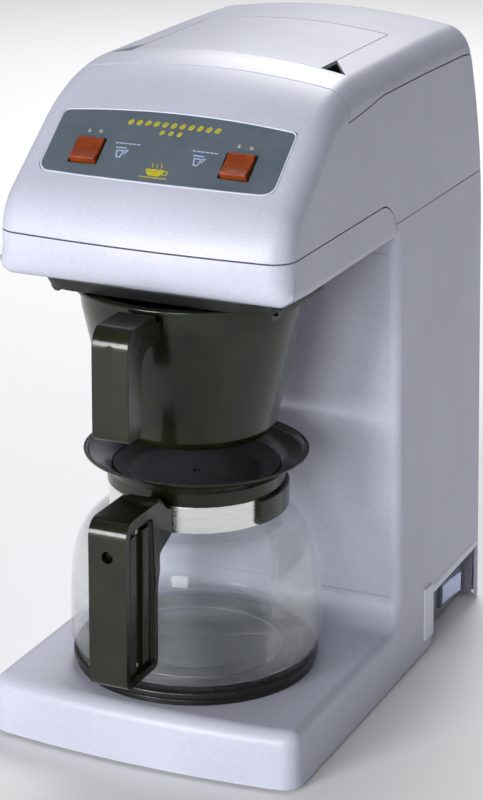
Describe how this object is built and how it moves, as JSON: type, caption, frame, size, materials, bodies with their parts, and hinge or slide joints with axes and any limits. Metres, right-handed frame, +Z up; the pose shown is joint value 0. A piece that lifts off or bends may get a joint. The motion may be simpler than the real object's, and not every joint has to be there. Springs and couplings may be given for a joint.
{
  "type": "drip coffee maker",
  "caption": "Pour-over drip coffee maker with a crowned hinged filling lid, a sloping control panel, a sliding brew basket and a glass carafe on a hot plate.",
  "frame": {"origin": "on the floor, under the middle of the machine and its carafe handle", "axes": "+Z up, +X to the right of someone facing the machine, the front faces -Y"},
  "size_m": [0.2215, 0.409, 0.4465],
  "materials": {
    "abs_body": "fine spark texture, lavender grey",
    "panel_grey": "satin slate grey",
    "black_moulding": "polished phenolic, olive black",
    "switch_orange": "translucent orange red",
    "switch_white": "translucent bluish white",
    "lamp_lens": "clear diffusing lens",
    "steel": "brushed stainless steel",
    "aluminium": "as cast",
    "plate_black": "black non-stick coating",
    "carafe_glass": "clear borosilicate glass",
    "foot_rubber": "matt",
    "tank_plastic": "natural polypropylene",
    "silicone": "translucent silicone",
    "ceramic": "unglazed ceramic",
    "circuit_board": "solder mask"
  },
  "bodies": {
    "machine": {"main_body": "abs_body", "column_front_panel": "abs_body", "rear_panel": "abs_body", "head_housing": "abs_body", "head_undercover": "abs_body", "top_cover": "abs_body", "hinge_bracket_left": "black_moulding", "hinge_bracket_right": "black_moulding", "base_plate": "aluminium", "foot_front_left": "foot_rubber", "foot_front_right": "foot_rubber", "foot_rear_left": "foot_rubber", "foot_rear_right": "foot_rubber", "rear_screw_lower_left": "steel", "rear_screw_lower_right": "steel", "rear_screw_upper_left": "steel", "rear_screw_upper_right": "steel", "power_inlet": "black_moulding", "control_panel": "panel_grey", "control_board": "circuit_board", "brew_switch_bezel": "black_moulding", "warmer_switch_bezel": "black_moulding", "brew_lamp_left": "lamp_lens", "brew_lamp_right": "lamp_lens", "warmer_lamp_left": "lamp_lens", "warmer_lamp_right": "lamp_lens", "power_switch_pocket": "black_moulding", "power_switch_bezel": "black_moulding", "fill_tray": "tank_plastic", "fill_strainer": "steel", "water_tank": "tank_plastic", "tank_outlet_tube": "silicone", "check_valve": "black_moulding", "heater_block": "aluminium", "brew_thermostat": "ceramic", "riser_tube": "silicone", "spray_head": "black_moulding", "terminal_block": "ceramic", "warmer_plate": "plate_black", "warmer_ring": "steel", "warmer_element": "steel", "warmer_thermostat": "ceramic", "basket_holder": "black_moulding", "basket_rail_left": "black_moulding", "basket_rail_right": "black_moulding"},
    "tank_lid": {"tank_lid": "abs_body", "lid_pin_left": "steel", "lid_pin_right": "steel"},
    "brew_rocker": {"brew_rocker": "switch_orange"},
    "warmer_rocker": {"warmer_rocker": "switch_orange"},
    "power_rocker": {"power_rocker": "switch_white"},
    "brew_basket": {"basket_bowl": "black_moulding", "basket_handle": "black_moulding", "basket_handle_screw": "steel"},
    "carafe": {"carafe_glass": "carafe_glass", "carafe_band": "steel", "carafe_collar": "black_moulding", "carafe_handle": "black_moulding", "carafe_handle_screw": "steel"},
    "carafe_lid": {"carafe_lid": "black_moulding"}
  },
  "joints": [
    {"name": "lid_hinge", "type": "hinge", "parent": "machine", "child": "tank_lid", "pos_m": [0, 0.064, 0.4335], "axis": [-1, 0, 0], "range_deg": [0, 95]},
    {"name": "brew_switch_rock", "type": "hinge", "parent": "machine", "child": "brew_rocker", "pos_m": [0.051, -0.12588, 0.39391], "axis": [1, 0, 0], "range_deg": [0, 12]},
    {"name": "warmer_switch_rock", "type": "hinge", "parent": "machine", "child": "warmer_rocker", "pos_m": [-0.051, -0.12588, 0.39391], "axis": [1, 0, 0], "range_deg": [0, 12]},
    {"name": "power_switch_rock", "type": "hinge", "parent": "machine", "child": "power_rocker", "pos_m": [0.098, 0.158, 0.019], "axis": [0, 0, 1], "range_deg": [0, 10]},
    {"name": "basket_slide", "type": "slide", "parent": "machine", "child": "brew_basket", "axis": [0, -1, 0], "range_m": [0, 0.18]},
    {"name": "carafe_slide", "type": "slide", "parent": "machine", "child": "carafe", "axis": [0, -1, 0], "range_m": [0, 0.2]},
    {"name": "carafe_lid_lift", "type": "slide", "parent": "carafe", "child": "carafe_lid", "axis": [0, 0, 1], "range_m": [0, 0.007]}
  ]
}
